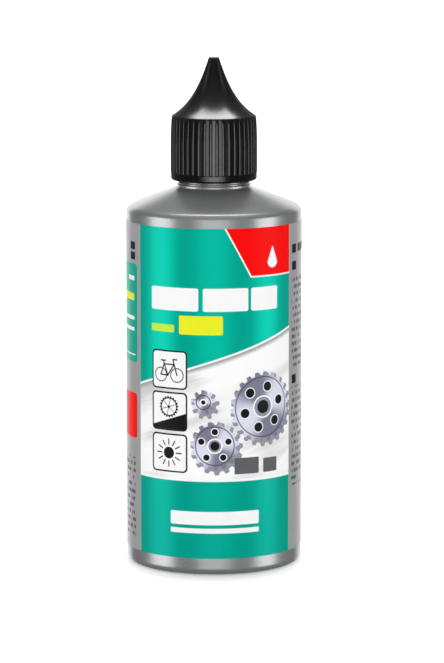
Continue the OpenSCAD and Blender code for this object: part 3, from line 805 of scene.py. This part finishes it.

# Paper that the camera sees lit up to white by a glow of its own. The glow is weaker round the
# foot, which paints in a shadow there on top of the real shadow that falls on the paper. The paper
# is switched off for glossy rays, so no gloss mirrors it.
floor_finish = bpy.data.materials.new("white_floor")
floor_finish.use_nodes = True
tree = floor_finish.node_tree
tree.nodes.remove(tree.nodes["Principled BSDF"])
rays = node(tree, "LightPath").outputs
seen = calc(tree, "MAXIMUM", rays["Is Camera Ray"],
            calc(tree, "MAXIMUM", rays["Is Glossy Ray"], rays["Is Transmission Ray"]))
paper = node(tree, "BsdfDiffuse", {"Color": (0.8, 0.8, 0.8, 1)}).outputs[0]
spread = node(tree, "Mapping", {"Vector": node(tree, "TexCoord").outputs["Object"],
                                "Location": (0, 0.005, 0), "Scale": (1.1, 1, 1)})
away = node(tree, "VectorMath", {0: spread.outputs[0]}, operation="LENGTH")
# Painted shadow: the glow is weaker near the foot, in a patch set a little toward the front
glow_with_painted_shadow = calc(tree, "ADD", ramp(tree, away.outputs["Value"], 0.014, 0.031, 0.24, 0.68),
                ramp(tree, away.outputs["Value"], 0.03, 0.09, 0.0, 0.4))
strength = calc(tree, "MULTIPLY", seen, glow_with_painted_shadow)
glow = node(tree, "Emission", {"Color": (1, 1, 1, 1), "Strength": strength}).outputs[0]
lit_paper = node(tree, "AddShader", {0: paper, 1: glow}).outputs[0]
tree.links.new(lit_paper, tree.nodes["Material Output"].inputs["Surface"])
floor_mesh.materials.append(floor_finish)

# The surround gives a little light from everywhere, more from behind, in front and overhead. Gloss
# mirrors that dim light, and only the camera sees the surround white.
world = bpy.data.worlds.new("surround")
bpy.context.scene.world = world
world.use_nodes = True
tree = world.node_tree
toward = node(tree, "SeparateXYZ", {0: node(tree, "TexCoord").outputs["Generated"]}).outputs
rim = ramp(tree, toward[1], 0.7, 0.95, 0.0, 0.1)
front = ramp(tree, toward[1], -0.95, -0.6, 0.15, 0.0)
sky = ramp(tree, toward[2], 0.5, 0.9, 0.0, 0.36)
level = calc(tree, "ADD", calc(tree, "ADD", rim, front), calc(tree, "ADD", sky, 0.2))
lit = node(tree, "Background", {"Color": (1, 1, 1, 1), "Strength": level}).outputs[0]
white = node(tree, "Background", {"Color": (1, 1, 1, 1), "Strength": 1.0}).outputs[0]
shown = node(tree, "MixShader", {0: node(tree, "LightPath").outputs["Is Camera Ray"],
                                 1: lit, 2: white}).outputs[0]
tree.links.new(shown, tree.nodes["World Output"].inputs["Surface"])


def softbox(name, place, target, width, height, level, *lit):
    """A rectangular area lamp whose face looks as bright as level times white: its power is
    level pi width height. Its light reaches only the pieces named in lit."""
    lamp = bpy.data.lights.new(name, "AREA")
    lamp.shape = "RECTANGLE"
    lamp.size = width
    lamp.size_y = height
    lamp.energy = level * math.pi * width * height
    made = bpy.data.objects.new(name, lamp)
    made.location = place
    made.rotation_euler = (Vector(target) - Vector(place)).to_track_quat("-Z", "Y").to_euler()
    bpy.context.scene.collection.objects.link(made)
    made.visible_camera = False
    flagged = bpy.data.collections.new(name + "_lights")
    for thing in lit:
        flagged.objects.link(thing)
    made.light_linking.receiver_collection = flagged
    return made


LAMPS_AWAY = 0.6
LAMPS_Z = -0.035
all_but_cap = (bottle, label, lube, nozzle, ring, floor)
for side, turn, width in (("left", -72.5, 0.36), ("right", 72.3, 0.33)):
    a = math.radians(turn)
    softbox("softbox_" + side, (LAMPS_AWAY * math.sin(a), -LAMPS_AWAY * math.cos(a), LAMPS_Z),
            (0, 0, LAMPS_Z), width, 0.38, 2.7, *all_but_cap)
    a *= 1.1
    softbox("softbox_high_" + side, (LAMPS_AWAY * math.sin(a), -LAMPS_AWAY * math.cos(a), 0.41),
            (0, 0, 0.12), 0.25, 0.28, 1.2, cap)
softbox("softbox_front", (0, -LAMPS_AWAY, LAMPS_Z), (0, 0, LAMPS_Z), 0.44, 0.38, 1.1, *all_but_cap)
softbox("softbox_back", (0, LAMPS_AWAY, 0.06), (0, 0, 0.06), 0.9, 0.62, 1.5, *all_but_cap)
softbox("softbox_top", (0, 0.1, 0.75), (0, 0.1, 0), 0.6, 0.2, 3.5, *all_but_cap)
softbox("softbox_cap_front", (0, -LAMPS_AWAY, -0.5), (0, 0, -0.5), 0.62, 1.3, 4.3, cap)
softbox("softbox_cap_middle", (0, 0.01 - LAMPS_AWAY, -0.5), (0, 0, -0.5), 0.3, 1.3, 3.2, cap)
softbox("softbox_cap_top", (0, 0.19, 0.75), (0, 0.19, 0), 0.57, 0.37, 21.0, cap)
fill = softbox("fill", (0, -1.2, 0.6), (0, 0, 0.05), 1.2, 1.0, 1.82, *all_but_cap)
fill.visible_glossy = False

# CAMERA AND VIEW
# A long lens in front of the bottle, a little above it. It looks down by CAMERA_TILT degrees and
# is turned off straight ahead by CAMERA_TURN.

CAMERA_AT = (0, -0.9, 0.19535)
CAMERA_TILT = 8.763
CAMERA_TURN = -0.126
camera_data = bpy.data.cameras.new("camera")
camera_data.lens = 200.8
camera_data.sensor_width = 36.0
camera = bpy.data.objects.new("camera", camera_data)
bpy.context.scene.collection.objects.link(camera)
camera.location = CAMERA_AT
camera.rotation_euler = (math.radians(90 - CAMERA_TILT), 0, math.radians(CAMERA_TURN))
bpy.context.scene.camera = camera
bpy.context.scene.view_settings.view_transform = "Standard"
